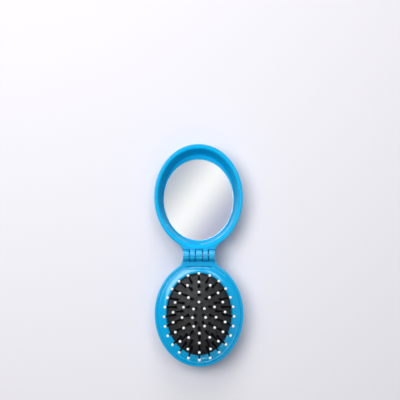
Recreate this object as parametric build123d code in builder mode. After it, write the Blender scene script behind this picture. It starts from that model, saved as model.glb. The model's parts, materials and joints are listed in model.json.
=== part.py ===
from build123d import *
import os
from math import sqrt

# Folding pocket hairbrush with a mirror. Two oval halves are hinged end to end and lie open on
# their backs: the brush half towards -Y and the mirror half towards +Y. The hinge axis runs along
# X over the origin, and the table is the plane Z = 0. The bristles stand on a domed rubber
# cushion that pops up for use and is pressed down into the brush half before the lid shuts.

os.makedirs("parts", exist_ok=True)

BASE, LID = -1, 1

# ---- Driving dimensions, in millimetres ----

# The two oval halves
oval_semi_x = 29.4          # half the width of each half
oval_semi_y = 35.0          # half the length of each half
hinge_to_oval = 3.8         # hinge axis to the near end of each oval
hinge_height = 17.0         # table to the hinge axis, which lies in the parting plane
closed_gap = 0.3            # between the two rims when the brush is shut
back_radius = 7.0           # rounding round the back of each half
base_wall = 3.0             # thick enough to carry the bezel on its upper end
base_floor = 1.8
lid_wall = 1.2
lid_floor = 1.5
base_lip = 1.9              # lip of the brush half's shell that stands round the bezel
lid_lip = 0.8               # lip of the cover that stands round the liner
seat_gap = 0.25             # between a shell's lip and the ring set into it
layer_gap = 0.1             # between flat layers that lie on each other

# Hinge
hinge_width = 21.0
barrel_radius = 3.8
knuckle_clearance = 0.3     # round a barrel, where the other half's neck is scooped out
middle_knuckle = 4.2
lid_knuckle = 3.5
knuckle_gap = 0.45
neck_radius = 8.0           # fillet where the hinge neck flows into the oval
neck_depth = 7.6            # from the hinge axis down to the underside of the neck
stop_gap = 0.3              # between the two necks, which meet as the stop of the open brush
hinge_pin_radius = 1.0
pin_running_gap = 0.05
blind_end = 0.7             # wall that closes the hinge bore at one end
pin_recess = 0.2            # how far the hinge pin lies below the mouth of its bore
pin_chamfer = 0.2

# Thumb opening in the back of the brush half
thumb_semi_x = 9.5
thumb_semi_y = 13.5
thumb_edge_radius = 0.8

# Bezel round the cushion, given from the outline of the oval inwards
bezel_seat_depth = 3.0      # rim down to the ledge that the bezel sits on
bezel_shoulder = 0.45       # height lost over the bezel's rounded outer edge
bezel_shoulder_width = 1.1
bezel_crest_inset = 5.6
bezel_crest_height = 1.2    # above the hinge axis
bezel_skirt = 3.6           # inset of the inner face of its skirt
bezel_lip_height = 0.7
pad_inset = 7.9             # inset of the edge of the opening round the cushion
bezel_land = 7.5            # the bezel is cut straight this far from the hinge axis
bezel_outer_rise = (0.6, 1)     # direction in which its section climbs from the outer edge
bezel_inner_fall = (0.1, -1)    # and in which it comes down to the opening

# Cushion, a rubber dome with a flat flange
flange_inset = 3.8
cushion_thickness = 1.2
cushion_lip_gap = 0.3       # between the foot of the dome and the edge of the bezel
crown_semi_x = 3.6          # flat top of the dome
crown_semi_y = 9.4
clamp_thickness = 1.4

# Bristle pins
pin_length = 14.0           # from the cushion to the middle of the ball tip
pin_root_radius = 0.8
pin_end_radius = 0.45
pin_hole_gap = 0.22
head_radius = 1.2
head_thickness = 0.6
head_drop = 1.6             # from the top of the cushion down to the head of a pin
tip_radius = 0.9
pin_socket_gap = 0.02       # round a pin in the push plate, and round its end in the ball tip

# Four rings of pins, outermost first: pins in the ring, half axes of the oval on which the pins
# leave the cushion, height of that oval above the foot of the dome, half axes of the tips' oval
pin_counts = (24, 18, 12, 8)
root_semi_x = (15.6, 11.2, 7.2, 2.8)
root_semi_y = (22.4, 18.6, 13.6, 8.2)
root_rise = (3.4, 5.4, 6.6, 7.0)
tip_semi_x = (22.6, 16.9, 10.9, 4.2)
tip_semi_y = (28.0, 22.7, 16.3, 10.0)

# Push plate under the crown of the cushion
plate_semi_x = 5.2
plate_semi_y = 10.8
plate_thickness = 1.6
plate_drop = 3.3            # from the crown of the cushion down to the top of the plate
boss_radius = 1.25
boss_gap = 0.45             # between a boss and the underside of the cushion

# Mirror and the liner that carries it
liner_flange_height = 1.4
liner_wall_gap = 0.2
bowl_top_semi_x = 26.7      # mouth of the bowl, in the parting plane
bowl_top_semi_y = 31.8
bowl_floor_height = 4.1     # table to the floor of the bowl round the mirror
bowl_floor_semi_x = 24.0
bowl_floor_semi_y = 29.6
bowl_floor_shift = 0.75     # the floor lies this much nearer the hinge than the oval's middle
bowl_bulge = 0.45           # share of the wall's lean that is taken up in its upper half
bowl_foot_radius = 1.2
mirror_semi_x = 23.5
mirror_semi_y = 27.3
mirror_shift = 2.0
mirror_gap = 0.2            # round the mirror in its recess
mirror_thickness = 1.4
mirror_bevel = 0.5
silver_thickness = 0.1
adhesive_thickness = 0.5
adhesive_inset = 1.5
recess_depth = 1.5

# ---- Values that follow ----

rim_height = hinge_height - closed_gap / 2
oval_middle = hinge_to_oval + oval_semi_y
ledge_height = rim_height - bezel_seat_depth
bezel_outer = base_lip + seat_gap
bezel_underside = rim_height - bezel_lip_height
pad_semi_x = oval_semi_x - pad_inset
pad_semi_y = oval_semi_y - pad_inset
dome_foot = bezel_underside - layer_gap
plate_top = dome_foot + root_rise[-1] - plate_drop
rings = range(len(pin_counts))
plate_ring = rings[-1]


def oval_plane(side, height, shift=0.0):
    """Level plane over the middle of one half; shift moves it towards the hinge."""
    return Plane(origin=(0, side * (oval_middle - shift), height))


def inset_oval(inset):
    """The outline of a half, drawn in by an even inset."""
    Ellipse(oval_semi_x - inset, oval_semi_y - inset)


def rounded_oval(side, inset, bottom, top, radius):
    """Solid oval between two heights with a rounded lower edge: a half, or the hollow inside it."""
    with BuildPart() as blank:
        with BuildSketch(oval_plane(side, bottom)):
            inset_oval(inset)
        extrude(amount=top - bottom)
        fillet(edges().group_by(Axis.Z)[0], radius)
    return blank.part


# ---- Hinge ----

half_hinge = hinge_width / 2
lid_inner = middle_knuckle / 2 + knuckle_gap
lid_outer = lid_inner + lid_knuckle
base_knuckles = [
    (-half_hinge, -lid_outer - knuckle_gap),
    (-middle_knuckle / 2, middle_knuckle / 2),
    (lid_outer + knuckle_gap, half_hinge),
]
lid_knuckles = [(-lid_outer, -lid_inner), (lid_inner, lid_outer)]

# Stretches where the neck of one half is scooped out for the knuckles of the other
room_for_lid = [
    (-lid_outer - knuckle_gap, -middle_knuckle / 2),
    (middle_knuckle / 2, lid_outer + knuckle_gap),
]
room_for_base = [
    (-half_hinge - hinge_to_oval, -lid_outer),
    (-lid_inner, lid_inner),
    (lid_outer, half_hinge + hinge_to_oval),
]


def along_hinge(spans, radius, mode=Mode.ADD):
    """Round bars, or bores, on the hinge axis: one for each start and end along X."""
    for start, end in spans:
        with BuildSketch(Plane.YZ.offset(start)) as section:
            with Locations((0, hinge_height)):
                Circle(radius)
        extrude(section.sketch, amount=end - start, mode=mode)


def add_neck(side, knuckles, room):
    """Hinge neck of one half with its knuckles and their bore, called in its shell's block."""
    with BuildSketch(Plane.XY.offset(hinge_height - neck_depth)) as necked_outline:
        with Locations((0, side * oval_middle)):
            inset_oval(0)
        with Locations((0, side * (oval_middle + stop_gap / 2) / 2)):
            Rectangle(hinge_width, oval_middle - stop_gap / 2)
        neck_corners = necked_outline.vertices().sort_by(lambda corner: abs(corner.Y))[2:4]
        fillet(neck_corners, neck_radius)
    extrude(necked_outline.sketch, amount=neck_depth - closed_gap / 2)
    along_hinge(knuckles, barrel_radius)
    along_hinge(room, barrel_radius + knuckle_clearance, mode=Mode.SUBTRACT)
    bore_radius = hinge_pin_radius + pin_running_gap
    along_hinge([(-half_hinge, half_hinge - blind_end)], bore_radius, mode=Mode.SUBTRACT)


# ---- Brush half: shell ----

base_blank = rounded_oval(BASE, 0, 0, rim_height, back_radius)
base_hollow = rounded_oval(BASE, base_wall, base_floor, ledge_height, back_radius - base_wall)

with BuildPart() as base_shell:
    add(base_blank)
    add_neck(BASE, base_knuckles, room_for_lid)
    add(base_hollow, mode=Mode.SUBTRACT)
    with BuildSketch(oval_plane(BASE, ledge_height)):
        inset_oval(base_lip)
        with Locations((0, oval_middle - bezel_land + seat_gap)):
            Rectangle(
                2 * oval_semi_x,
                2 * oval_semi_y,
                align=(Align.CENTER, Align.MAX),
                mode=Mode.INTERSECT,
            )
    extrude(amount=bezel_seat_depth, mode=Mode.SUBTRACT)
    with BuildSketch(oval_plane(BASE, 0)):
        Ellipse(thumb_semi_x, thumb_semi_y)
    extrude(amount=base_floor, mode=Mode.SUBTRACT)
    thumb_edge = edges().group_by(Axis.Z)[0].sort_by(SortBy.LENGTH)[0]
    fillet(thumb_edge, thumb_edge_radius)

base_shell.part.label = "base_shell"
export_step(base_shell.part, "parts/base_shell.step")


# ---- Brush half: bezel, clamp ring and cushion ----

# The bezel's section is drawn at the near end of the oval: X inwards from its outline, Y upwards
section_plane = Plane(origin=(0, -hinge_to_oval, 0), x_dir=(0, -1, 0), z_dir=(-1, 0, 0))
outline_path = Edge.make_ellipse(oval_semi_x, oval_semi_y, plane=oval_plane(BASE, 0))

with BuildPart() as bezel:
    with BuildSketch(section_plane):
        with BuildLine():
            crest = (bezel_crest_inset, hinge_height + bezel_crest_height)
            shoulder = (bezel_outer + bezel_shoulder_width, rim_height)
            outer_edge = (bezel_outer, rim_height - bezel_shoulder)
            inner_edge = (pad_inset, hinge_height)
            ends = [bezel_outer_rise, bezel_inner_fall]
            Spline(outer_edge, shoulder, crest, inner_edge, tangents=ends)
            Polyline(
                inner_edge,
                (pad_inset, bezel_underside),
                (bezel_skirt, bezel_underside),
                (bezel_skirt, ledge_height + layer_gap),
                (bezel_outer, ledge_height + layer_gap),
                outer_edge,
            )
        make_face()
    sweep(path=outline_path)
    split(bisect_by=Plane.XZ.offset(bezel_land), keep=Keep.TOP)

bezel.part.label = "bezel"
export_step(bezel.part, "parts/bezel.step")

with BuildPart() as clamp_ring:
    with BuildSketch(oval_plane(BASE, dome_foot - cushion_thickness - layer_gap - clamp_thickness)):
        inset_oval(flange_inset)
        Ellipse(pad_semi_x, pad_semi_y, mode=Mode.SUBTRACT)
    extrude(amount=clamp_thickness)

clamp_ring.part.label = "clamp_ring"
export_step(clamp_ring.part, "parts/clamp_ring.step")


def dome(height, mode=Mode.ADD):
    """The cushion's dome, from its foot at a height up to its flat crown."""
    foot_semi_x, foot_semi_y = pad_semi_x - cushion_lip_gap, pad_semi_y - cushion_lip_gap
    rises = (0,) + root_rise
    semi_x = (foot_semi_x,) + root_semi_x[:-1] + (crown_semi_x,)
    semi_y = (foot_semi_y,) + root_semi_y[:-1] + (crown_semi_y,)
    levels = []
    for rise, half_width, half_length in zip(rises, semi_x, semi_y):
        with BuildSketch(oval_plane(BASE, height + rise)) as level:
            Ellipse(half_width, half_length)
        levels.append(level.sketch)
    loft(levels, mode=mode)


def pin_frames(ring):
    """A plane at the root of each pin of a ring, with its Z along the pin towards the tip."""
    count = pin_counts[ring]
    rise = dome_foot + root_rise[ring]
    roots = Edge.make_ellipse(root_semi_x[ring], root_semi_y[ring])
    frames = []
    for i in range(count):
        root = roots.position_at(i / count)
        reach_x = (tip_semi_x[ring] - root_semi_x[ring]) * root.X / root_semi_x[ring]
        reach_y = (tip_semi_y[ring] - root_semi_y[ring]) * root.Y / root_semi_y[ring]
        upward = sqrt(pin_length**2 - reach_x**2 - reach_y**2)
        frames.append(
            Plane(
                origin=(root.X, root.Y - oval_middle, rise),
                x_dir=(upward, 0, -reach_x),
                z_dir=(reach_x, reach_y, upward),
            )
        )
    return frames


def shanks(frames, radius, start, end, mode=Mode.ADD):
    """Round bars along the pins, from one distance to another above the cushion's surface."""
    with Locations(*[frame.offset(start) for frame in frames]):
        Cylinder(radius, end - start, align=(Align.CENTER, Align.CENTER, Align.MIN), mode=mode)


with BuildPart() as cushion:
    with BuildSketch(oval_plane(BASE, dome_foot - cushion_thickness)):
        inset_oval(flange_inset)
    extrude(amount=cushion_thickness)
    dome(dome_foot)
    dome(dome_foot - cushion_thickness, mode=Mode.SUBTRACT)
    for ring in rings:
        hole_radius = pin_root_radius + pin_hole_gap
        shanks(pin_frames(ring), hole_radius, -head_drop, head_drop, mode=Mode.SUBTRACT)

cushion.part.label = "cushion"
export_step(cushion.part, "parts/cushion.step")


# ---- Brush half: push plate, pins and ball tips ----

boss_top = cushion_thickness + boss_gap
plate_depth = plate_drop + plate_thickness

with BuildPart() as push_plate:
    with BuildSketch(oval_plane(BASE, plate_top - plate_thickness)):
        Ellipse(plate_semi_x, plate_semi_y)
    extrude(amount=plate_thickness)
    plate_pins = pin_frames(plate_ring)
    shanks(plate_pins, boss_radius, -plate_drop - plate_thickness / 2, -boss_top)
    shanks(plate_pins, pin_root_radius + pin_socket_gap, -2 * plate_depth, 0, mode=Mode.SUBTRACT)
    shanks(
        plate_pins,
        head_radius + pin_hole_gap,
        -2 * plate_depth,
        head_thickness + layer_gap - plate_depth,
        mode=Mode.SUBTRACT,
    )

push_plate.part.label = "push_plate"
export_step(push_plate.part, "parts/push_plate.step")

pin_taper = (pin_root_radius - pin_end_radius) / pin_length
tip_socket_radius = pin_end_radius + pin_taper * tip_radius + pin_socket_gap

for ring in rings:
    frames = pin_frames(ring)
    head_top = plate_depth - head_thickness if ring == plate_ring else head_drop
    with BuildPart() as pins:
        shanks(frames, head_radius, -head_top - head_thickness, -head_top)
        shanks(frames, pin_root_radius, -head_top, 0)
        with Locations(*frames):
            Cone(
                pin_root_radius,
                pin_end_radius,
                pin_length,
                align=(Align.CENTER, Align.CENTER, Align.MIN),
            )
    pins.part.label = f"pins_ring_{ring + 1}"
    export_step(pins.part, f"parts/pins_ring_{ring + 1}.step")
    with BuildPart() as tips:
        with Locations(*[frame.offset(pin_length) for frame in frames]):
            Sphere(tip_radius)
        socket_start, socket_end = pin_length - 2 * tip_radius, pin_length + layer_gap
        shanks(frames, tip_socket_radius, socket_start, socket_end, mode=Mode.SUBTRACT)
    tips.part.label = f"tips_ring_{ring + 1}"
    export_step(tips.part, f"parts/tips_ring_{ring + 1}.step")


# ---- Hinge pin ----

with BuildPart() as hinge_pin:
    along_hinge([(pin_recess - half_hinge, half_hinge - blind_end - pin_recess)], hinge_pin_radius)
    chamfer(edges().filter_by(GeomType.CIRCLE), pin_chamfer)

hinge_pin.part.label = "hinge_pin"
export_step(hinge_pin.part, "parts/hinge_pin.step")


# ---- Mirror half: cover ----

lid_blank = rounded_oval(LID, 0, 0, rim_height, back_radius)
lid_hollow = rounded_oval(LID, lid_wall, lid_floor, rim_height, back_radius - lid_wall)

with BuildPart() as lid_cover:
    add(lid_blank)
    add_neck(LID, lid_knuckles, room_for_base)
    add(lid_hollow, mode=Mode.SUBTRACT)
    with BuildSketch(oval_plane(LID, rim_height - liner_flange_height - layer_gap)):
        inset_oval(lid_lip)
    extrude(amount=rim_height, mode=Mode.SUBTRACT)

lid_cover.part.label = "lid_cover"
export_step(lid_cover.part, "parts/lid_cover.step")


# ---- Mirror half: liner, mirror, silvering and adhesive ----

liner_bottom = lid_floor + liner_wall_gap
recess_floor = bowl_floor_height - recess_depth

liner_blank = rounded_oval(
    LID, lid_wall + liner_wall_gap, liner_bottom, rim_height - layer_gap, back_radius - lid_wall
)

with BuildPart() as lid_liner:
    add(liner_blank)
    with BuildSketch(oval_plane(LID, rim_height - layer_gap)):
        inset_oval(lid_lip + seat_gap)
    extrude(amount=-liner_flange_height + layer_gap)
    mid_x = bowl_top_semi_x - bowl_bulge * (bowl_top_semi_x - bowl_floor_semi_x)
    mid_y = bowl_top_semi_y - bowl_bulge * (bowl_top_semi_y - bowl_floor_semi_y)
    mid_height = (bowl_floor_height + rim_height) / 2
    with BuildSketch(oval_plane(LID, bowl_floor_height, bowl_floor_shift)):
        Ellipse(bowl_floor_semi_x, bowl_floor_semi_y)
    with BuildSketch(oval_plane(LID, mid_height, bowl_floor_shift * bowl_bulge)):
        Ellipse(mid_x, mid_y)
    with BuildSketch(oval_plane(LID, rim_height)):
        Ellipse(bowl_top_semi_x, bowl_top_semi_y)
    loft(mode=Mode.SUBTRACT)
    bowl_foot = edges().sort_by(lambda edge: abs(edge.center().Z - bowl_floor_height))[0]
    fillet(bowl_foot, bowl_foot_radius)
    with BuildSketch(oval_plane(LID, recess_floor, mirror_shift)):
        Ellipse(mirror_semi_x + mirror_gap, mirror_semi_y + mirror_gap)
    extrude(amount=rim_height, mode=Mode.SUBTRACT)

lid_liner.part.label = "lid_liner"
export_step(lid_liner.part, "parts/lid_liner.step")

with BuildPart() as mirror_adhesive:
    with BuildSketch(oval_plane(LID, recess_floor, mirror_shift)):
        Ellipse(mirror_semi_x - adhesive_inset, mirror_semi_y - adhesive_inset)
    extrude(amount=adhesive_thickness)

mirror_adhesive.part.label = "mirror_adhesive"
export_step(mirror_adhesive.part, "parts/mirror_adhesive.step")

with BuildPart() as mirror_silver:
    with BuildSketch(oval_plane(LID, recess_floor + adhesive_thickness, mirror_shift)):
        Ellipse(mirror_semi_x, mirror_semi_y)
    extrude(amount=silver_thickness)

mirror_silver.part.label = "mirror_silver"
export_step(mirror_silver.part, "parts/mirror_silver.step")

with BuildPart() as mirror_glass:
    glass_bottom = recess_floor + adhesive_thickness + silver_thickness
    with BuildSketch(oval_plane(LID, glass_bottom, mirror_shift)):
        Ellipse(mirror_semi_x, mirror_semi_y)
    extrude(amount=mirror_thickness)
    chamfer(edges().group_by(Axis.Z)[-1], mirror_bevel)

mirror_glass.part.label = "mirror_glass"
export_step(mirror_glass.part, "parts/mirror_glass.step")
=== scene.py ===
import json
from math import atan2, cos, pi, radians, sin, sqrt

import bmesh
import bpy
import numpy as np
from mathutils import Matrix, Vector


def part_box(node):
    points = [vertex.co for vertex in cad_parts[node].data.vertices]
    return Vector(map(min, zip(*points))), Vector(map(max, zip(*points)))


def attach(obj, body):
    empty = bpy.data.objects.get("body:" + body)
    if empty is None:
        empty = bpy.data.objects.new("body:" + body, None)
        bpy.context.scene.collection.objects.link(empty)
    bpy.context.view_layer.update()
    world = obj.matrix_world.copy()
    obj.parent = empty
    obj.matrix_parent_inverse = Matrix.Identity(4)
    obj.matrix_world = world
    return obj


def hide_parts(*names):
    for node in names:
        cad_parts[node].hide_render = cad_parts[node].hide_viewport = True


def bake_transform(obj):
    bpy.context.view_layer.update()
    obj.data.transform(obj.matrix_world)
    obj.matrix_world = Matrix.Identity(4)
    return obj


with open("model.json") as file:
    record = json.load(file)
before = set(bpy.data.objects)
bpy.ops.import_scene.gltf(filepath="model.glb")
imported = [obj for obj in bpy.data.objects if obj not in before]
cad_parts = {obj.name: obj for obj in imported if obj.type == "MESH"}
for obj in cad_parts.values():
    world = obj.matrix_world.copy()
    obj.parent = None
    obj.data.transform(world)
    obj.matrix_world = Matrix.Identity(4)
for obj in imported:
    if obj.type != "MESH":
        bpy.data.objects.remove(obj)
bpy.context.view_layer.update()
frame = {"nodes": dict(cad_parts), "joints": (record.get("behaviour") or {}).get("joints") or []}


# ---- Shell of the brush half ----
# The back of the brush is one moulding in gloss blue ABS: an oval tub with a neck for the hinge, a
# thumb opening in its back and a thin lip that stands round the bezel. Its three knuckles are
# moulded on, and the bore for the hinge pin is closed at one end.

cushion_low, cushion_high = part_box("cushion")
shell_low, shell_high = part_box("base_shell")
hinge_height = frame["joints"][0]["pos_m"][2]
middle = (cushion_low.y + cushion_high.y) / 2
oval_x = shell_high.x
oval_y = middle - shell_low.y
oval_steps = 160

# The shell: its rim, walls, floor and ledge, where the bezel is cut straight, and the thumb opening.
closed_gap = 0.0003
rim_height = hinge_height - closed_gap / 2
back_radius = 0.007
base_lip = 0.0019
base_wall = 0.003
base_floor = 0.0018
ledge_depth = 0.003
ledge_height = rim_height - ledge_depth
bezel_land = 0.0075
land_gap = 0.0003
lip_line = land_gap - bezel_land
seam = 0.00005
thumb_x, thumb_y = 0.0095, 0.0135
thumb_edge = 0.0008

# The neck: how far it reaches below the hinge, half its width, its end and its fillets.
neck_depth = 0.0076
neck_under = hinge_height - neck_depth
neck_half = 0.0105
neck_end = 0.00015
neck_fillet_step = 13
neck_fillet_faces = 8
edge_round = 0.0006
seam_round = 0.00006

# The knuckles, the room for those of the other half, and the bore: radii and spans along the hinge.
barrel_radius = 0.0038
scoop_gap = 0.0003
scoop_radius = barrel_radius + scoop_gap
bore_radius = 0.00105
bore_floor = 0.0007
bore = [(-2 * neck_half, neck_half - bore_floor)]
knuckle_step = 0.00004
knuckle_round = 0.00025
knuckle_near, knuckle_far = 0.0021, 0.0065
base_knuckles = [(-neck_half, -knuckle_far), (-knuckle_near, knuckle_near), (knuckle_far, neck_half)]
room_for_lid = [(-knuckle_far, -knuckle_near), (knuckle_near, knuckle_far)]

# How far apart two places still count as one, how far past the outline a place still counts as on
# it, and the same for a ring, as a share of its size.
same_place = 1e-6
on_outline = 1e-5
on_share = 1e-4

# Shares of the outline: the outer wall's faces lie past the first, the second runs along the top of
# both rims, and the third lies between the lip's two sides.
at_wall = 0.99
in_rim = 0.985
past_lip = 0.97


def add(primitive, **settings):
    """Adds a primitive as a new piece, with its object at the origin, and opens it in edit mode."""
    if bpy.context.mode != "OBJECT":
        bpy.ops.object.mode_set(mode="OBJECT")
    bpy.ops.object.select_all(action="DESELECT")
    primitive(**settings)
    bpy.ops.object.transform_apply(location=True, rotation=True, scale=True)
    bpy.ops.object.mode_set(mode="EDIT")
    bpy.ops.mesh.select_mode(type="EDGE")
    bpy.ops.mesh.select_all(action="SELECT")
    return bpy.context.object


def select(kind, test, sharper_than=None):
    """Selects the open piece's vertices, edges or faces that lie in places that pass a test."""
    bpy.ops.mesh.select_mode(type=kind)
    bpy.ops.mesh.select_all(action="DESELECT")
    mesh = bmesh.from_edit_mesh(bpy.context.object.data)
    if kind == "VERT":
        chosen = [vertex for vertex in mesh.verts if test(vertex.co)]
    elif kind == "EDGE":
        chosen = [edge for edge in mesh.edges if all(test(vertex.co) for vertex in edge.verts)]
    else:
        chosen = [face for face in mesh.faces if test(face.calc_center_median())]
    if sharper_than is not None:
        chosen = [edge for edge in chosen if edge.is_convex and edge.calc_face_angle(0) > sharper_than]
    for element in chosen:
        element.select_set(True)
    mesh.select_flush_mode()
    bmesh.update_edit_mesh(bpy.context.object.data)


def inset(depth, height, shift=0.0):
    """A ring of a half: the oval's outline drawn in by an even depth, at a height."""
    return (oval_x - depth, oval_y - depth, height, shift)


def stack_ovals(rings, capped=False, steps=oval_steps):
    """Makes a skin over the middle of the brush half from an oval that is extruded ring to ring.

    A ring is half its width, half its length, its height and its shift towards the hinge."""
    half_width, half_length, height, shift = rings[0]
    centre = (0, middle + shift, height)
    piece = add(bpy.ops.mesh.primitive_circle_add, vertices=steps, radius=1, location=centre)
    bpy.ops.transform.resize(value=(half_width, half_length, 1), center_override=centre)
    for ring, before in zip(rings[1:], rings):
        move = (0, ring[3] - before[3], ring[2] - before[2])
        bpy.ops.mesh.extrude_region_move(TRANSFORM_OT_translate={"value": move})
        centre = (0, middle + ring[3], ring[2])
        growth = (ring[0] / before[0], ring[1] / before[1], 1)
        bpy.ops.transform.resize(value=growth, center_override=centre)
    if capped:
        bpy.ops.mesh.edge_face_add()
        select("EDGE", on_ring(rings[0]))
        bpy.ops.mesh.edge_face_add()
    return piece


def merge_places():
    """Selects all of the open piece and merges what coincides."""
    bpy.ops.mesh.select_all(action="SELECT")
    bpy.ops.mesh.remove_doubles(threshold=same_place)


def close_skin():
    """Merges what coincides in the open piece and turns all its faces outwards."""
    merge_places()
    bpy.ops.mesh.normals_make_consistent(inside=False)


def on_ring(ring):
    """The test of whether a place lies on a ring."""
    half_width, half_length, height, shift = ring

    def test(place):
        share = (place.x / half_width) ** 2 + ((place.y - middle - shift) / half_length) ** 2
        return abs(place.z - height) < same_place and abs(share - 1) < on_share
    return test


def round_ring(ring, radius, segments):
    """Rounds the edge along one ring of the open piece."""
    select("EDGE", on_ring(ring))
    bpy.ops.mesh.bevel(offset=radius, segments=segments, affect="EDGES")


def spread(place):
    """How far out a place lies over the brush half: 0 is its middle and 1 its outline."""
    return sqrt((place.x / oval_x) ** 2 + ((place.y - middle) / oval_y) ** 2)


def add_neck(lip_ring):
    """Opens the near wall of the open half shell and runs it out into the neck of the hinge."""
    turn = 2 * pi * neck_fillet_step / oval_steps
    start = Vector((oval_x * sin(turn), middle + oval_y * cos(turn), neck_under))
    lean = atan2(oval_x * cos(turn), oval_y * sin(turn))
    fillet = (start.x - neck_half) / (1 - cos(lean))
    centre_x, centre_y = neck_half + fillet, start.y + fillet * sin(lean)

    def near(place):
        return place.y > middle and abs(place.x) < start.x + on_outline

    def on_path(height):
        ends = [Vector((side * start.x, start.y, height)) for side in (-1, 1)]
        return lambda place: abs(place.z - height) < same_place and place.y > middle and (
            spread(place) > 1 + on_outline or min((place - end).length for end in ends) < on_outline)

    select("FACE", lambda place: near(place) and place.z > neck_under and (
        spread(place) > at_wall or place.z > rim_height - same_place))
    bpy.ops.mesh.delete(type="FACE")
    select("VERT", lambda place: (place - start).length < same_place)
    bpy.ops.mesh.spin(steps=neck_fillet_faces, angle=lean, center=(centre_x, centre_y, neck_under),
                      axis=(0, 0, 1))
    for run in ((0, -neck_end - centre_y, 0), (-2 * neck_half, 0, 0), (0, centre_y + neck_end, 0)):
        bpy.ops.mesh.extrude_region_move(TRANSFORM_OT_translate={"value": run})
    bpy.ops.mesh.spin(steps=neck_fillet_faces, angle=lean, center=(-centre_x, centre_y, neck_under),
                      axis=(0, 0, 1))
    merge_places()
    select("EDGE", on_path(neck_under))
    bpy.ops.mesh.extrude_region_move(TRANSFORM_OT_translate={"value": (0, 0, rim_height - neck_under)})
    merge_places()
    on_underside, on_top, on_lip = on_path(neck_under), on_path(rim_height), on_ring(lip_ring)
    select("VERT", lambda place: on_underside(place) or (
        near(place) and abs(place.z - neck_under) < same_place and abs(spread(place) - 1) < on_outline))
    bpy.ops.mesh.edge_face_add()
    select("VERT", lambda place: on_top(place) or (near(place) and on_lip(place)))
    bpy.ops.mesh.edge_face_add()


def open_piece(piece, mode="OBJECT"):
    """Leaves one piece alone selected and active, in object mode or in edit mode."""
    if bpy.context.mode != "OBJECT":
        bpy.ops.object.mode_set(mode="OBJECT")
    bpy.ops.object.select_all(action="DESELECT")
    bpy.context.view_layer.objects.active = piece
    piece.select_set(True)
    bpy.ops.object.mode_set(mode=mode)


def join(pieces):
    """Joins pieces into the first of them."""
    open_piece(pieces[0])
    if len(pieces) > 1:
        for piece in pieces:
            piece.select_set(True)
        bpy.ops.object.join()
    return pieces[0]


def bars(spans, radius, step=0.0, rounding=None):
    """Round bars on the hinge axis as one piece: one for each start and end along X, less a step."""
    made = []
    for start, end in spans:
        made.append(add(bpy.ops.mesh.primitive_cylinder_add, vertices=64, radius=radius,
                        depth=end - start - 2 * step, location=((start + end) / 2, 0, hinge_height),
                        rotation=(0, pi / 2, 0)))
        if rounding:
            select("EDGE", lambda place: True, sharper_than=radians(60))
            bpy.ops.mesh.bevel(offset=rounding, segments=3, affect="EDGES")
    return join(made)


def cut(piece, operation, tool):
    """Joins a tool to a piece, or cuts the piece by it, and throws the tool away."""
    open_piece(piece)
    boolean = piece.modifiers.new("boolean", "BOOLEAN")
    boolean.operation = operation
    boolean.object = tool
    boolean.solver = "EXACT"
    bpy.ops.object.modifier_apply(modifier=boolean.name)
    bpy.data.objects.remove(tool)


def complete(piece, name, body, nodes, material, sharp=35):
    """Shades a piece smooth with its flat faces kept flat, and sets it in the frame."""
    open_piece(piece)
    piece.name = piece.data.name = name
    piece.data.materials.clear()
    piece.data.materials.append(material)
    bpy.ops.object.shade_smooth_by_angle(angle=radians(sharp))
    weighted = piece.modifiers.new("weighted", "WEIGHTED_NORMAL")
    weighted.keep_sharp = True
    bpy.ops.object.modifier_apply(modifier=weighted.name)
    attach(piece, body)
    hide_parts(*nodes)


class Shade:
    """One output in a material's node tree. Sums with it add Math nodes to the tree."""

    def __init__(self, tree, output=None):
        self.tree = tree
        self.output = output

    def node(self, kind, settings=None, inputs=None, output=0):
        """Adds a node, makes its settings, then sets or links its inputs, and gives one output."""
        made = self.tree.nodes.new("ShaderNode" + kind)
        for name, value in (settings or {}).items():
            if name == "interpolation":
                made.color_ramp.interpolation = value
            elif name == "stops":
                stops = made.color_ramp.elements
                for place, colour in value[2:]:
                    stops.new(place)
                for stop, (place, colour) in zip(stops, value):
                    stop.position, stop.color = place, colour
            else:
                setattr(made, name, value)
        for name, value in (inputs or {}).items():
            if isinstance(value, Shade):
                self.tree.links.new(value.output, made.inputs[name])
            else:
                made.inputs[name].default_value = value
        return Shade(self.tree, made.outputs[output] if made.outputs else None)

    def sum(self, operation, first, second):
        return self.node("Math", {"operation": operation}, {0: first, 1: second})

    def __add__(self, other):
        return self.sum("ADD", self, other)

    def __sub__(self, other):
        return self.sum("SUBTRACT", self, other)

    def __rsub__(self, other):
        return self.sum("SUBTRACT", other, self)

    def __mul__(self, other):
        return self.sum("MULTIPLY", self, other)

    def __gt__(self, other):
        return self.sum("GREATER_THAN", self, other)

    __radd__ = __add__
    __rmul__ = __mul__


def new_material(name):
    """An empty material and the shade of its Object coordinates, from which the others are made."""
    material = bpy.data.materials.new(name)
    material.use_nodes = True
    material.node_tree.nodes.clear()
    return material, Shade(material.node_tree).node("TexCoord", output="Object")


def surface(place, **inputs):
    """Ends a material with its surface; a space in an input's name is written as an underline."""
    named = {name.replace("_", " "): value for name, value in inputs.items()}
    shader = place.node("BsdfPrincipled", {}, named)
    place.node("OutputMaterial", {}, {"Surface": shader})


def mix(mask, first, second):
    """Goes from one colour to another as a mask goes from 0 to 1.

    The Mix node's colours are its inputs 6 and 7 and its output 2."""
    return mask.node("Mix", {"data_type": "RGBA"}, {0: mask, 6: first, 7: second}, output=2)


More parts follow.
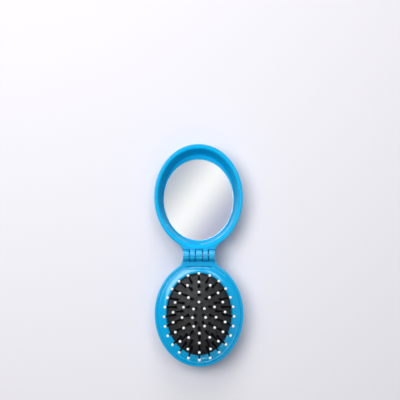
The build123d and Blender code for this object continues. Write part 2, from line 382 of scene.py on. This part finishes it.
def gloss_blue(name, deep, light, roughness, gloss):
    """Moulded gloss ABS: faint flow in the colour, orange peel, handling haze and hairline scratches."""
    material, place = new_material(name)
    flow = place.node("TexNoise", {}, {"Vector": place, "Scale": 60.0, "Detail": 3.0})
    colour = mix(flow, deep, light)
    haze = place.node("TexNoise", {}, {"Vector": place, "Scale": 140.0, "Detail": 4.0, "Roughness": 0.6})
    along = place.node("Mapping", {}, {
        "Vector": place, "Rotation": (0.0, 0.0, 0.6), "Scale": (2600.0, 90.0, 400.0)})
    scratches = place.node("TexNoise", {}, {"Vector": along, "Scale": 1.0, "Detail": 1.0}) > 0.72
    peel = place.node("TexNoise", {}, {"Vector": place, "Scale": 700.0, "Detail": 1.0})
    bump = place.node("Bump", {}, {"Strength": 0.12, "Distance": 0.00006, "Height": peel})
    surface(place, Base_Color=colour, Roughness=roughness + haze * 0.10 + scratches * 0.08, Normal=bump,
            IOR=1.53, Specular_IOR_Level=gloss)
    return material


def round_neck_edges():
    """Rounds the open shell's rim, the edges of its neck and, less, the seam round what is set in it."""
    select("EDGE", lambda place: place.z > rim_height - same_place and spread(place) < in_rim)
    bpy.ops.mesh.bevel(offset=seam_round, segments=2, affect="EDGES")
    select("EDGE", lambda place: place.z > rim_height - same_place and spread(place) > in_rim
           or abs(place.y + neck_end) < same_place
           or abs(place.z - neck_under) < same_place and spread(place) > 1 + on_outline,
           sharper_than=radians(40))
    bpy.ops.mesh.bevel(offset=edge_round, segments=4, affect="EDGES")


base_rim = inset(base_lip, rim_height)
base_shell = stack_ovals([
    (thumb_x, thumb_y, base_floor, 0),
    inset(base_wall, base_floor),
    inset(base_wall, ledge_height),
    inset(base_lip, ledge_height),
    base_rim,
    inset(0, rim_height),
    inset(0, neck_under),
    inset(0, 0),
    (thumb_x, thumb_y, 0, 0),
    (thumb_x, thumb_y, base_floor, 0),
])
close_skin()
round_ring(inset(0, 0), back_radius, 12)
round_ring(inset(base_wall, base_floor), back_radius - base_wall, 8)
round_ring((thumb_x, thumb_y, 0, 0), thumb_edge, 4)
add_neck(base_rim)
close_skin()
between_lip_and_hollow = 1 - (base_lip + base_wall) / 2 / oval_y
select("VERT", lambda place: place.z > ledge_height - same_place and place.y > lip_line - land_gap
       and spread(place) < between_lip_and_hollow)
bpy.ops.transform.resize(value=(1, 0, 1), center_override=(0, lip_line - land_gap, 0))
select("VERT", lambda place: place.z > ledge_height - same_place and place.y > lip_line
       and between_lip_and_hollow < spread(place) < past_lip)
bpy.ops.transform.resize(value=(1, 0, 1), center_override=(0, lip_line, 0))
round_neck_edges()
cut(base_shell, "DIFFERENCE", bars(room_for_lid, scoop_radius))
cut(base_shell, "UNION", bars(base_knuckles, barrel_radius, knuckle_step, knuckle_round))
cut(base_shell, "DIFFERENCE", bars(bore, bore_radius))
shell_blue = gloss_blue("shell_blue", (0.0, 0.385, 0.75, 1), (0.0, 0.425, 0.82, 1), 0.08, 0.45)
complete(base_shell, "brush_shell", "base", ["base_shell"], shell_blue)


# ---- Clamp ring and push plate ----
# Two plain grey mouldings inside the brush half. The ring clamps the rubber's flange up against the
# bezel, and the plate under the rubber's crown is what the thumb pushes. Both keep their plain forms.


def finish_node(node, material):
    """Gives a piece whose form is already right its material."""
    frame["nodes"][node].data.materials.clear()
    frame["nodes"][node].data.materials.append(material)


grey_plastic, place = new_material("grey_plastic")
cloud = place.node("TexNoise", {}, {"Vector": place, "Scale": 90.0, "Detail": 3.0})
colour = mix(cloud, (0.10, 0.10, 0.105, 1), (0.15, 0.15, 0.155, 1))
spark = place.node("TexNoise", {}, {"Vector": place, "Scale": 3000.0, "Detail": 2.0})
bump = place.node("Bump", {}, {"Strength": 0.3, "Distance": 0.00003, "Height": spark})
surface(place, Base_Color=colour, Roughness=0.45 + spark * 0.15, Normal=bump)
finish_node("clamp_ring", grey_plastic)
finish_node("push_plate", grey_plastic)


# ---- Pins ----
# Sixty-two black nylon pins stand in four rings. Each has a flat head under the rubber, a thick
# root and a shank that tapers to its ball tip, and leans outwards from the middle of the cushion.

pin_length = 0.014
pin_head = 0.0012
pin_head_thickness = 0.0006
pin_head_edge = 0.0001
pin_root = 0.0008
pin_end = 0.00052
pin_sides = 16

# The shank's radii and heights, from the root to where the ball covers it.
shank = [(pin_root, 0.0016), (0.92 * pin_root, 0.0040), (0.8 * pin_root, 0.0080),
         (pin_end, pin_length - 0.0006)]


def solids(node):
    """The corner points of each separate solid of a CAD node, in the order of its mesh."""
    mesh = bmesh.new()
    mesh.from_mesh(frame["nodes"][node].data)
    bmesh.ops.remove_doubles(mesh, verts=mesh.verts, dist=1e-7)
    found, seen = [], set()
    for first in mesh.verts:
        if first in seen:
            continue
        seen.add(first)
        front, solid = [first], []
        while front:
            vertex = front.pop()
            solid.append(tuple(vertex.co))
            for edge in vertex.link_edges:
                other = edge.other_vert(vertex)
                if other not in seen:
                    seen.add(other)
                    front.append(other)
        found.append(np.array(solid))
    mesh.free()
    return found


def pin_places(ring):
    """Where a ring's pins stand, with Z along each pin from its root, and how deep their heads reach."""
    pins = solids(f"pins_ring_{ring}")
    places, depths = [], []
    for tip in solids(f"tips_ring_{ring}"):
        low, high = tip.min(axis=0), tip.max(axis=0)
        radius = (high[0] - low[0]) / 2
        ball = Vector(((low[0] + high[0]) / 2, (low[1] + high[1]) / 2, high[2] - radius))
        pin = min(pins, key=lambda points: abs(points - np.array(ball)).sum(axis=1).min())
        direction = (ball - Vector(pin.mean(axis=0))).normalized()
        reach = max((ball - Vector(point)).dot(direction) for point in pin)
        depths.append(reach - pin_length)
        root = ball - pin_length * direction
        turn = direction.to_track_quat("Z", "Y").to_matrix().to_4x4()
        places.append(Matrix.Translation(root) @ turn)
    return places, sum(depths) / len(depths)


def turned(profile, sides):
    """A closed round piece on the Z axis, extruded up through a profile of radii and heights."""
    piece = add(bpy.ops.mesh.primitive_circle_add, vertices=sides, radius=profile[0][0],
                fill_type="NGON", location=(0, 0, profile[0][1]))
    bpy.ops.mesh.select_mode(type="FACE")
    for (radius, height), (last_radius, last_height) in zip(profile[1:], profile):
        bpy.ops.mesh.extrude_region_move(TRANSFORM_OT_translate={"value": (0, 0, height - last_height)})
        growth = radius / last_radius
        bpy.ops.transform.resize(value=(growth, growth, 1), center_override=(0, 0, height))
    close_skin()
    bpy.ops.object.mode_set(mode="OBJECT")
    return piece


def stand(pattern, places):
    """One piece of copies of a pattern, each with a mesh of its own, set up at the places."""
    copies = []
    for place in places:
        copy = pattern.copy()
        copy.data = pattern.data.copy()
        copy.data.transform(place)
        bpy.context.scene.collection.objects.link(copy)
        copies.append(copy)
    bpy.data.objects.remove(pattern)
    return join(copies)


nylon, place = new_material("black_nylon")
grain = place.node("TexNoise", {}, {"Vector": place, "Scale": 1800.0, "Detail": 2.0})
bump = place.node("Bump", {}, {"Strength": 0.2, "Distance": 0.00004, "Height": grain})
surface(place, Base_Color=(0.004, 0.004, 0.0045, 1), Roughness=0.44 + grain * 0.15, Normal=bump,
        Specular_IOR_Level=0.12)

pin_rings = [pin_places(ring) for ring in (1, 2, 3, 4)]
for ring, (places, head_depth) in enumerate(pin_rings, start=1):
    head_bottom = -head_depth
    head_top = head_bottom + pin_head_thickness
    pin = turned([
        (pin_head - pin_head_edge, head_bottom),
        (pin_head, head_bottom + pin_head_edge),
        (pin_head, head_top - pin_head_edge),
        (pin_head - pin_head_edge, head_top),
        (pin_root, head_top),
        *shank,
    ], pin_sides)
    pins = stand(pin, places)
    complete(pins, f"pins_{ring}", f"ring_{ring}", [f"pins_ring_{ring}"], nylon)


# ---- Ball tips ----
# A white nylon ball is moulded over the end of each pin, so that it glides over the scalp. A short
# collar under it grips the shank.

tip_radius = 0.0009
collar = 0.92
collar_start = pin_length - collar * tip_radius
collar_drop = 0.0002
collar_end = pin_length - 1.15 * tip_radius

ivory, place = new_material("white_nylon")
mottle = place.node("TexNoise", {}, {"Vector": place, "Scale": 900.0, "Detail": 2.0})
colour = mix(mottle, (0.91, 0.92, 0.92, 1), (0.96, 0.97, 0.97, 1))
surface(place, Base_Color=colour, Roughness=0.25 + mottle * 0.1)

for ring, (places, head_depth) in enumerate(pin_rings, start=1):
    ball = add(bpy.ops.mesh.primitive_uv_sphere_add, segments=16, ring_count=12, radius=tip_radius,
               location=(0, 0, pin_length))
    select("FACE", lambda spot: spot.z < collar_start)
    bpy.ops.mesh.extrude_region_move(TRANSFORM_OT_translate={"value": (0, 0, -collar_drop)})
    bpy.ops.transform.resize(value=(collar, collar, 0), center_override=(0, 0, collar_end))
    bpy.ops.object.mode_set(mode="OBJECT")
    tips = stand(ball, places)
    complete(tips, f"tips_{ring}", f"ring_{ring}", [f"tips_ring_{ring}"], ivory, sharp=60)


# ---- Cushion ----
# The cushion is a moulded dome of dark grey rubber with a flange at its foot. An eyelet is moulded
# round each pin. Pressed in, it turns inside out and takes the pins down with it.

foot_height = 0.01605
rubber_thickness = 0.0012
flange_inset = 0.0038
groove_width = 0.0008
groove_depth = 0.0007
eyelet_radius, eyelet_width, eyelet_height = 0.0011, 0.0003, 0.00035
well_radius, well_edge, well_depth = 0.0008, 0.00008, 0.0005
cushion_steps = 320
cushion_rows = 56

# Half the dome's width, half its length and its rise: at its foot, at each ring of pins, and at the
# end of the ridge along its top.
dome_levels = [(0.0205, 0.0261, 0.0), (0.0156, 0.0224, 0.0034), (0.0112, 0.0186, 0.0054),
               (0.0072, 0.0136, 0.0066), (0.0036, 0.0094, 0.0070), (0.0002, 0.0060, 0.0070)]
dome_spots = np.linspace(0, 1, len(dome_levels))
dome_curves = [np.polynomial.polynomial.Polynomial.fit(dome_spots, values, len(dome_levels) - 1)
               for values in zip(*dome_levels)]
foot_x, foot_y = dome_levels[0][:2]


def foot_ring(out, down):
    """A ring of the groove round the dome, outside its foot and below it."""
    return (foot_x + out, foot_y + out, foot_height - down, 0)


def dome_ring(share):
    """A ring of the dome's skin, from its foot at 0 to the end of its ridge at 1."""
    half_width, half_length, rise = (float(curve(share)) for curve in dome_curves)
    return (half_width, half_length, foot_height + rise, 0)


cushion = stack_ovals([
    inset(flange_inset, foot_height),
    foot_ring(groove_width, 0),
    foot_ring(0.7 * groove_width, groove_depth),
    foot_ring(0.3 * groove_width, groove_depth),
    *(dome_ring(row / cushion_rows) for row in range(cushion_rows + 1)),
], steps=cushion_steps)
bpy.ops.mesh.edge_face_add()
open_piece(cushion)
points = np.array([vertex.co for vertex in cushion.data.vertices])
for root in [place.translation for places, head_depth in pin_rings for place in places]:
    away = np.hypot(points[:, 0] - root[0], points[:, 1] - root[1])
    crest = np.exp(-((away - eyelet_radius) / eyelet_width) ** 2)
    well = 1 / (1 + np.exp((away - well_radius) / well_edge))
    points[:, 2] += eyelet_height * crest - well_depth * well
for vertex, point in zip(cushion.data.vertices, points):
    vertex.co = point
bpy.ops.object.mode_set(mode="EDIT")
close_skin()
bpy.ops.object.mode_set(mode="OBJECT")
wall = cushion.modifiers.new("wall", "SOLIDIFY")
wall.thickness = rubber_thickness
wall.offset = -1
bpy.ops.object.modifier_apply(modifier=wall.name)

rubber, place = new_material("cushion_rubber")
one_way = place.node("Mapping", {}, {"Vector": place, "Scale": (1.0, 1.0, 0.0)})
other_way = place.node("Mapping", {}, {"Vector": place, "Scale": (-1.0, 1.0, 0.0)})
ribs = [place.node("TexWave", {"bands_direction": "DIAGONAL"}, {"Vector": way, "Scale": 350.0}, "Fac")
        for way in (one_way, other_way)]
weave = ribs[0] * ribs[1]
grain = place.node("TexVoronoi", {}, {"Vector": place, "Scale": 2200.0})
dust = place.node("TexNoise", {}, {"Vector": place, "Scale": 400.0, "Detail": 4.0})
colour = mix(dust * 1.2 + weave - 0.5, (0.008, 0.008, 0.0085, 1), (0.075, 0.075, 0.077, 1))
bump = place.node("Bump", {}, {"Strength": 0.6, "Distance": 0.0001, "Height": grain * 0.2 + weave})
surface(place, Base_Color=colour, Roughness=0.55 + dust * 0.2, Normal=bump)
open_piece(cushion)
cushion.name = cushion.data.name = "rubber_cushion"
cushion.data.materials.append(rubber)
bpy.ops.object.shade_smooth_by_angle(angle=radians(50))
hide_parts("cushion")
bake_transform(cushion)


# ---- Bezel ----
# The bezel is a gloss blue ring that snaps into the lip of the shell and holds the cushion down. It
# swells to a rounded crest, dips to a groove inside the lip, and is cut straight at the hinge.

crest_inset = 0.0070
crest_height = hinge_height + 0.0009
bead_inset = 0.0028
bead_height = rim_height + 0.0001
bezel_outer = base_lip + seam
bezel_shoulder = rim_height - 0.0004
bezel_foot = ledge_height + 0.0001
bezel_skirt = 0.0036
bezel_underside = rim_height - 0.0007
pad_inset = 0.0079
pad_round = 0.0001
end_round = 0.0002

# The curves over the bezel's top, each from the end of the one before: two handles, its end and its
# number of faces. Places are insets from the outline and heights.
bead = ((bezel_outer, rim_height), (0.0024, bead_height), (bead_inset, bead_height), 5)
groove = ((0.0030, bead_height), (0.0031, rim_height - 0.0001), (0.0033, rim_height), 4)
swell = ((0.0042, rim_height + 0.0004), (0.0056, crest_height), (crest_inset, crest_height), 14)
fall = ((0.0074, crest_height), (0.00785, hinge_height + 0.0007), (pad_inset, hinge_height), 8)


def bezier(start, first, second, end, steps):
    """Insets and heights along a curve, without its start."""
    spots = []
    for step in range(1, steps + 1):
        t = step / steps
        weights = ((1 - t) ** 3, 3 * t * (1 - t) ** 2, 3 * t * t * (1 - t), t ** 3)
        spots.append(tuple(sum(w * p[axis] for w, p in zip(weights, (start, first, second, end)))
                           for axis in (0, 1)))
    return spots


section = [(bezel_outer, bezel_foot), (bezel_outer, bezel_shoulder)]
for curve in (bead, groove, swell, fall):
    section += bezier(section[-1], *curve)
section += [(pad_inset, bezel_underside), (bezel_skirt, bezel_underside), (bezel_skirt, bezel_foot),
            (bezel_outer, bezel_foot)]
bezel = stack_ovals([inset(depth, height) for depth, height in section])
close_skin()
select("EDGE", on_ring(inset(pad_inset, bezel_underside)))
bpy.ops.mesh.bevel(offset=pad_round, segments=2, affect="EDGES")
bpy.ops.mesh.select_all(action="SELECT")
bpy.ops.mesh.bisect(plane_co=(0, -bezel_land, 0), plane_no=(0, 1, 0), use_fill=True, clear_outer=True,
                    threshold=1e-7)
select("EDGE", lambda place: abs(place.y + bezel_land) < same_place and place.z > bezel_underside,
       sharper_than=radians(40))
bpy.ops.mesh.bevel(offset=end_round, segments=2, affect="EDGES")
bezel_blue = gloss_blue("bezel_blue", (0.0, 0.395, 0.76, 1), (0.0, 0.435, 0.83, 1), 0.08, 0.5)
complete(bezel, "cushion_bezel", "base", ["bezel"], bezel_blue)


# ---- Hinge pin ----
# A drawn steel pin lies in the five knuckles. Its ends are chamfered, and the closed end of the bore
# keeps it in.

drawn_steel, place = new_material("drawn_steel")
along = place.node("Mapping", {}, {"Vector": place, "Scale": (60.0, 4000.0, 4000.0)})
draw_lines = place.node("TexNoise", {}, {"Vector": along, "Scale": 1.0, "Detail": 2.0})
bump = place.node("Bump", {}, {"Strength": 0.2, "Distance": 0.00001, "Height": draw_lines})
surface(place, Base_Color=(0.20, 0.20, 0.21, 1), Metallic=1.0, Roughness=0.25 + draw_lines * 0.2,
        Normal=bump)
finish_node("hinge_pin", drawn_steel)


# ---- Shell of the mirror half ----
# The lid is a second moulding in the same gloss blue ABS, thinner than the first, with two knuckles
# that turn between the three of the brush half.

lid_lip = 0.0008
lid_wall = 0.0012
lid_floor = 0.0015
flange_thickness = 0.0015
liner_seat = rim_height - flange_thickness
past_neck = 0.0143
lid_near, lid_far = 0.00255, 0.00605
lid_knuckles = [(-lid_far, -lid_near), (lid_near, lid_far)]
room_for_base = [(-past_neck, -lid_far), (-lid_near, lid_near), (lid_far, past_neck)]


def turn_to_lid():
    """Turns the open piece about the upright axis through the hinge, to the mirror half."""
    bpy.ops.mesh.select_all(action="SELECT")
    bpy.ops.transform.resize(value=(-1, -1, 1), center_override=(0, 0, 0))


lid_rim = inset(lid_lip, rim_height)
lid_cover = stack_ovals([
    inset(lid_wall, lid_floor),
    inset(lid_wall, liner_seat),
    inset(lid_lip, liner_seat),
    lid_rim,
    inset(0, rim_height),
    inset(0, neck_under),
    inset(0, 0),
], capped=True)
close_skin()
round_ring(inset(0, 0), back_radius, 12)
round_ring(inset(lid_wall, lid_floor), back_radius - lid_wall, 8)
add_neck(lid_rim)
close_skin()
round_neck_edges()
turn_to_lid()
cut(lid_cover, "DIFFERENCE", bars(room_for_base, scoop_radius))
cut(lid_cover, "UNION", bars(lid_knuckles, barrel_radius, knuckle_step, knuckle_round))
cut(lid_cover, "DIFFERENCE", bars(bore, bore_radius))
complete(lid_cover, "lid_shell", "lid", ["lid_cover"], shell_blue)


# ---- Liner of the mirror half ----
# A blue ABS bowl with a satin face drops into the lid's rim. Its blue is painted lighter than the
# shell's blue, as painted light on the bowl's shaded walls. Its wall leans in to a floor with a
# recess, in which the mirror is stuck.

liner_gap = 0.0002
liner_side = lid_wall + liner_gap
liner_bottom = lid_floor + liner_gap
flange_side = lid_lip + seam
flange_under = liner_seat + 0.0001
liner_top = rim_height - 0.00002
bowl_bulge = 0.12
mouth_round = 0.0015
wall_steps = 6

# Rings of the bowl, from its mouth down to its recess.
bowl_top = (0.0267, 0.0318, liner_top, 0.0)
bowl_foot = (0.0242, 0.0298, 0.0053, 0.00075)
recess_shoulder = [(0.0240, 0.0295, 0.0046, 0.0008), (0.0238, 0.0291, 0.0042, 0.0010)]
recess_edge = (0.02355, 0.02735, 0.0041, 0.0020)
recess_foot = (0.02355, 0.02735, 0.0026, 0.0020)

bowl_wall = []
for step in range(1, wall_steps):
    share = step / wall_steps
    lean = share - bowl_bulge * sin(pi * share)
    bowl_wall.append(tuple(high + (low - high) * part for high, low, part in
                           zip(bowl_top, bowl_foot, (lean, lean, share, lean))))

lid_liner = stack_ovals([
    inset(liner_side, liner_bottom),
    inset(liner_side, flange_under),
    inset(flange_side, flange_under),
    inset(flange_side, liner_top),
    bowl_top,
    *bowl_wall,
    bowl_foot,
    *recess_shoulder,
    recess_edge,
    recess_foot,
], capped=True)
close_skin()
round_ring(inset(liner_side, liner_bottom), back_radius - lid_wall, 8)
round_ring(bowl_top, mouth_round, 7)
round_ring(inset(flange_side, liner_top), seam_round, 2)
turn_to_lid()
# The same blue as the shell, painted lighter: painted light that brightens the shaded walls of the bowl.
liner_blue = gloss_blue("liner_blue", (0.0, 0.46, 0.87, 1), (0.0, 0.50, 0.93, 1), 0.40, 0.06)
complete(lid_liner, "mirror_bowl", "lid", ["lid_liner"], liner_blue)


# ---- Mirror ----
# The mirror is an oval of float glass with a ground edge and a silvered back. White foam tape sticks
# it down in its recess.

foam, place = new_material("foam_tape")
cells = place.node("TexVoronoi", {}, {"Vector": place, "Scale": 2500.0})
bump = place.node("Bump", {}, {"Strength": 0.5, "Distance": 0.00008, "Height": cells})
colour = mix(cells, (0.66, 0.66, 0.64, 1), (0.82, 0.82, 0.80, 1))
surface(place, Base_Color=colour, Roughness=0.8 + cells * 0.15, Normal=bump)
finish_node("mirror_adhesive", foam)

mirror_x, mirror_y, mirror_shift = 0.0235, 0.0273, 0.0020
mirror_top = 0.0046
mirror_bevel = 0.0002
glass_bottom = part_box("mirror_silver")[1].z + 0.00002

glass = stack_ovals([
    (mirror_x, mirror_y, glass_bottom, mirror_shift),
    (mirror_x, mirror_y, mirror_top - mirror_bevel, mirror_shift),
    (mirror_x - mirror_bevel, mirror_y - mirror_bevel, mirror_top, mirror_shift),
], capped=True)
close_skin()
turn_to_lid()
clear, place = new_material("mirror_glass")
across = place.node("SeparateXYZ", {}, {0: place}, "X") * (1 / (mirror_x - mirror_bevel))
along = place.node("SeparateXYZ", {}, {0: place}, "Y") + middle + mirror_shift
along = along * (1 / (mirror_y - mirror_bevel))
ground_edge = across * across + along * along > 1.001
surface(place, Base_Color=(0.99, 1.0, 0.99, 1), Roughness=ground_edge, Transmission_Weight=1.0, IOR=1.52)
complete(glass, "mirror_glass_bevelled", "lid", ["mirror_glass"], clear, sharp=20)

silvering, place = new_material("mirror_silver")
bloom = place.node("TexNoise", {}, {"Vector": place, "Scale": 80.0, "Detail": 3.0})
surface(place, Base_Color=(0.93, 0.93, 0.95, 1), Metallic=1.0, Roughness=0.008 + bloom * 0.012)
finish_node("mirror_silver", silvering)


# ---- Floor, lights and camera ----
# The open brush lies on a pale studio table. The main softbox hangs beyond it to the left and a small
# one to the right, a window lamp glows beyond the mirror half, and a wide and a small lamp stand on
# the near side. The room is dim but for a pale patch of ceiling, which shows in the mirror.

bpy.ops.object.select_all(action="DESELECT")
bpy.ops.mesh.primitive_plane_add(size=6)
floor = bpy.context.object
floor.name = "floor"
paper = bpy.data.materials.new("paper")
paper.use_nodes = True
paper.node_tree.nodes["Principled BSDF"].inputs["Base Color"].default_value = (0.82, 0.80, 0.84, 1)
paper.node_tree.nodes["Principled BSDF"].inputs["Roughness"].default_value = 0.9
floor.data.materials.append(paper)

world = bpy.data.worlds.new("room")
bpy.context.scene.world = world
world.use_nodes = True
world.node_tree.nodes.clear()
sky = Shade(world.node_tree).node("TexCoord", output="Generated")
across = sky.node("VectorMath", {"operation": "DOT_PRODUCT"}, {0: sky, 1: (-0.8, 0.6, 0.0)}, "Value")
band_sharpness, band_middle = 14.0, 0.46
ceiling_inner, ceiling_outer = 0.05, 0.09
ceiling = sky.node("ValToRGB", {"interpolation": "EASE", "stops": [
    (0.0, (0.50, 0.52, 0.66, 1)),
    (0.5, (1.03, 1.03, 1.04, 1)),
    (1.0, (0.52, 0.56, 0.63, 1)),
]}, {0: across * band_sharpness + band_middle})
from_zenith = sky.node("VectorMath", {"operation": "LENGTH"}, {
    0: sky.node("VectorMath", {"operation": "MULTIPLY"}, {0: sky, 1: (1.0, 1.0, 0.0)})}, "Value")
up = sky.node("SeparateXYZ", {}, {0: sky}, "Z") > 0
over = sky.node("MapRange", {"interpolation_type": "SMOOTHSTEP"}, {
    "Value": from_zenith, "From Min": ceiling_inner, "From Max": ceiling_outer,
    "To Min": 1.0, "To Max": 0.0}) * up
room = mix(over, (0.12, 0.125, 0.14, 1), ceiling)
glow = sky.node("Background", {}, {"Color": room, "Strength": 1.0})
sky.node("OutputWorld", {}, {"Surface": glow})


def soft_lamp(name, location, width, length, power):
    """A rectangular softbox that faces the middle of the table."""
    data = bpy.data.lights.new(name, "AREA")
    data.shape = "RECTANGLE"
    data.size, data.size_y = width, length
    data.energy = power
    lamp = bpy.data.objects.new(name, data)
    bpy.context.scene.collection.objects.link(lamp)
    lamp.location = location
    lamp.rotation_mode = "QUATERNION"
    lamp.rotation_quaternion = Vector(location).to_track_quat("Z", "Y")


soft_lamp("softbox", (-0.285, 0.222, 0.735), 0.47, 0.47, 4.4)
soft_lamp("strip", (0.20, 0.24, 0.76), 0.22, 0.22, 0.8)
soft_lamp("window", (0.0, 0.85, 0.52), 0.5, 0.7, 4.2)
soft_lamp("fill", (0.6, -0.4, 0.6), 1.2, 1.2, 1.0)
soft_lamp("glint", (0.03, -0.55, 0.62), 0.12, 0.08, 0.3)

camera_data = bpy.data.cameras.new("camera")
camera_data.lens = 88.4
camera_data.sensor_width = 36
camera = bpy.data.objects.new("camera", camera_data)
bpy.context.scene.collection.objects.link(camera)
camera.location = (0.00094, 0.0367, 0.667)
camera.rotation_euler = (0, 0, radians(-0.27))
bpy.context.scene.camera = camera
bpy.context.scene.view_settings.view_transform = "Standard"
